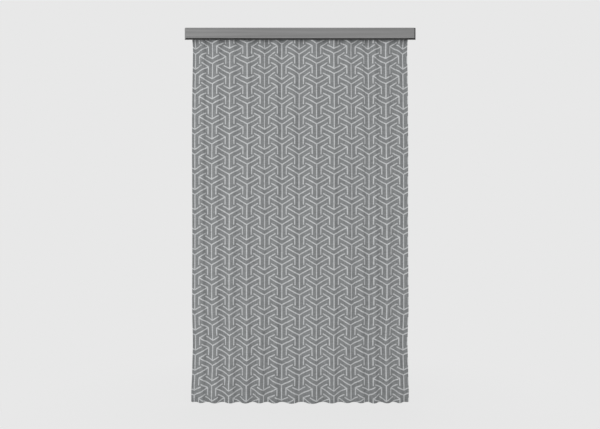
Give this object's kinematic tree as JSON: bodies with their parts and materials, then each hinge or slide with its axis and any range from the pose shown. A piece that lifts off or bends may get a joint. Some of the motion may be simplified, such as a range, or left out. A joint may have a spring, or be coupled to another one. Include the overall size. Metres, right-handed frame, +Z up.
{
  "type": "curtain panel",
  "caption": "Patterned curtain panel in shallow folds, hung by gliders and hooks from a ceiling track behind a bevelled fascia plank.",
  "frame": {"origin": "middle of the line of ceiling screw holes, on the track's top face", "axes": "+Z up, +X to the right along the track, the room on the -Y side"},
  "size_m": [1.586, 0.0598, 2.58],
  "materials": {
    "track": "satin anodised",
    "fascia": "grey, fine brushed",
    "end_cap": "grey moulded",
    "end_stop": "white moulded",
    "screw": "zinc plated",
    "glider": "white moulded",
    "hook": "white moulded",
    "tape": "woven",
    "cloth": "woven, printed"
  },
  "bodies": {
    "root": {"ceiling_track": "track", "fascia_board": "fascia", "end_cap_left": "end_cap", "end_cap_right": "end_cap", "end_stop_left": "end_stop", "end_stop_right": "end_stop", "end_stop_screws": "screw", "heading_tape": "tape", "curtain_cloth": "cloth", "glider_01": "glider", "hook_01": "hook"},
    "carrier_15": {"glider_15": "glider", "hook_15": "hook"},
    "carrier_14": {"glider_14": "glider", "hook_14": "hook"},
    "carrier_13": {"glider_13": "glider", "hook_13": "hook"},
    "carrier_12": {"glider_12": "glider", "hook_12": "hook"},
    "carrier_11": {"glider_11": "glider", "hook_11": "hook"},
    "carrier_10": {"glider_10": "glider", "hook_10": "hook"},
    "carrier_09": {"glider_09": "glider", "hook_09": "hook"},
    "carrier_08": {"glider_08": "glider", "hook_08": "hook"},
    "carrier_07": {"glider_07": "glider", "hook_07": "hook"},
    "carrier_06": {"glider_06": "glider", "hook_06": "hook"},
    "carrier_05": {"glider_05": "glider", "hook_05": "hook"},
    "carrier_04": {"glider_04": "glider", "hook_04": "hook"},
    "carrier_03": {"glider_03": "glider", "hook_03": "hook"},
    "carrier_02": {"glider_02": "glider", "hook_02": "hook"}
  },
  "joints": [
    {"name": "slide_15", "type": "slide", "parent": "root", "child": "carrier_15", "axis": [1, 0, 0], "range_m": [-1.0066, 0], "deforming": ["curtain_cloth", "heading_tape"]},
    {"name": "slide_14", "type": "slide", "parent": "root", "child": "carrier_14", "axis": [1, 0, 0], "range_m": [-0.95522, 0]},
    {"name": "slide_13", "type": "slide", "parent": "root", "child": "carrier_13", "axis": [1, 0, 0], "range_m": [-0.89187, 0]},
    {"name": "slide_12", "type": "slide", "parent": "root", "child": "carrier_12", "axis": [1, 0, 0], "range_m": [-0.82922, 0]},
    {"name": "slide_11", "type": "slide", "parent": "root", "child": "carrier_11", "axis": [1, 0, 0], "range_m": [-0.76658, 0]},
    {"name": "slide_10", "type": "slide", "parent": "root", "child": "carrier_10", "axis": [1, 0, 0], "range_m": [-0.699, 0]},
    {"name": "slide_09", "type": "slide", "parent": "root", "child": "carrier_09", "axis": [1, 0, 0], "range_m": [-0.61453, 0]},
    {"name": "slide_08", "type": "slide", "parent": "root", "child": "carrier_08", "axis": [1, 0, 0], "range_m": [-0.51035, 0]},
    {"name": "slide_07", "type": "slide", "parent": "root", "child": "carrier_07", "axis": [1, 0, 0], "range_m": [-0.41602, 0]},
    {"name": "slide_06", "type": "slide", "parent": "root", "child": "carrier_06", "axis": [1, 0, 0], "range_m": [-0.34563, 0]},
    {"name": "slide_05", "type": "slide", "parent": "root", "child": "carrier_05", "axis": [1, 0, 0], "range_m": [-0.27806, 0]},
    {"name": "slide_04", "type": "slide", "parent": "root", "child": "carrier_04", "axis": [1, 0, 0], "range_m": [-0.20555, 0]},
    {"name": "slide_03", "type": "slide", "parent": "root", "child": "carrier_03", "axis": [1, 0, 0], "range_m": [-0.13094, 0]},
    {"name": "slide_02", "type": "slide", "parent": "root", "child": "carrier_02", "axis": [1, 0, 0], "range_m": [-0.05351, 0]}
  ],
  "couplings": [
    {"joint": "slide_14", "follows": "slide_15", "ratio": 0.94895},
    {"joint": "slide_13", "follows": "slide_15", "ratio": 0.88601},
    {"joint": "slide_12", "follows": "slide_15", "ratio": 0.82378},
    {"joint": "slide_11", "follows": "slide_15", "ratio": 0.76154},
    {"joint": "slide_10", "follows": "slide_15", "ratio": 0.69441},
    {"joint": "slide_09", "follows": "slide_15", "ratio": 0.61049},
    {"joint": "slide_08", "follows": "slide_15", "ratio": 0.50699},
    {"joint": "slide_07", "follows": "slide_15", "ratio": 0.41329},
    {"joint": "slide_06", "follows": "slide_15", "ratio": 0.34336},
    {"joint": "slide_05", "follows": "slide_15", "ratio": 0.27622},
    {"joint": "slide_04", "follows": "slide_15", "ratio": 0.2042},
    {"joint": "slide_03", "follows": "slide_15", "ratio": 0.13007},
    {"joint": "slide_02", "follows": "slide_15", "ratio": 0.053147}
  ]
}
